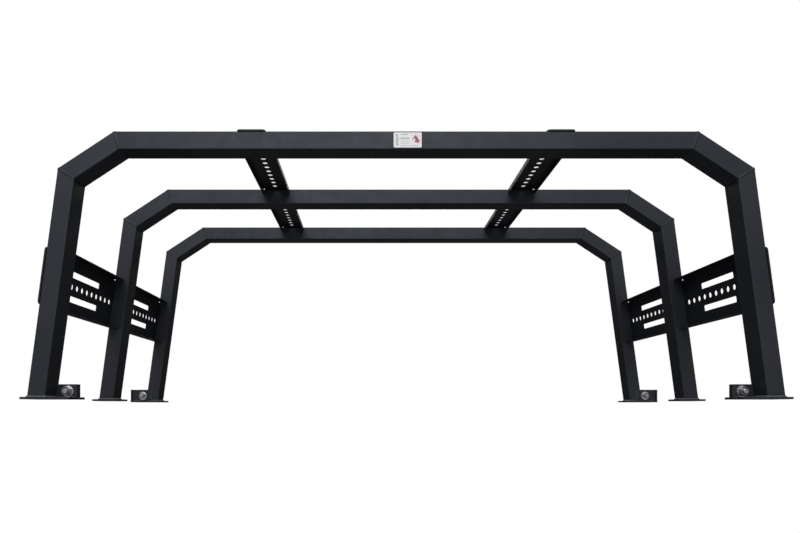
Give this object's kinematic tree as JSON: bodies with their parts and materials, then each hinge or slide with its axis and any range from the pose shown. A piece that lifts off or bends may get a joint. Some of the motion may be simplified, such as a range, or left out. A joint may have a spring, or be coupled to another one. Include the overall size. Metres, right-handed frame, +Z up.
{
  "type": "ladder rack",
  "caption": "Low welded tube rack that spans a pickup truck's bed, with perforated channels along the top and sides.",
  "frame": {"origin": "on the ground plane under the feet, in the middle of the rack's length and width", "axes": "+X to the right seen from the front, +Y to the back, +Z up"},
  "size_m": [1.752, 0.794, 0.591],
  "materials": {
    "black_powder_coat": "fine textured satin powder coat",
    "zinc_plated_steel": "bright zinc plate",
    "black_oxide_steel": "black oxide",
    "label_white": "printed label"
  },
  "bodies": {
    "root": {"clamp_bolts": "zinc_plated_steel", "clamp_nuts": "zinc_plated_steel", "clamp_washers": "zinc_plated_steel", "foot_welds": "black_powder_coat", "front_cross_bar": "black_powder_coat", "label_plate": "label_white", "left_front_clamp_tab": "black_powder_coat", "left_front_foot_plate": "black_powder_coat", "left_front_leg": "black_powder_coat", "left_front_shoulder": "black_powder_coat", "left_middle_foot_plate": "black_powder_coat", "left_middle_leg": "black_powder_coat", "left_middle_shoulder": "black_powder_coat", "left_rear_clamp_tab": "black_powder_coat", "left_rear_foot_plate": "black_powder_coat", "left_rear_leg": "black_powder_coat", "left_rear_shoulder": "black_powder_coat", "left_side_channel": "black_powder_coat", "left_top_channel": "black_powder_coat", "middle_cross_bar": "black_powder_coat", "rear_cross_bar": "black_powder_coat", "right_front_clamp_tab": "black_powder_coat", "right_front_foot_plate": "black_powder_coat", "right_front_leg": "black_powder_coat", "right_front_shoulder": "black_powder_coat", "right_middle_foot_plate": "black_powder_coat", "right_middle_leg": "black_powder_coat", "right_middle_shoulder": "black_powder_coat", "right_rear_clamp_tab": "black_powder_coat", "right_rear_foot_plate": "black_powder_coat", "right_rear_leg": "black_powder_coat", "right_rear_shoulder": "black_powder_coat", "right_side_channel": "black_powder_coat", "right_top_channel": "black_powder_coat", "side_channel_rivet_nuts": "zinc_plated_steel", "side_channel_screws": "black_oxide_steel", "top_channel_rivet_nuts": "zinc_plated_steel", "top_channel_screws": "black_oxide_steel"}
  },
  "joints": []
}
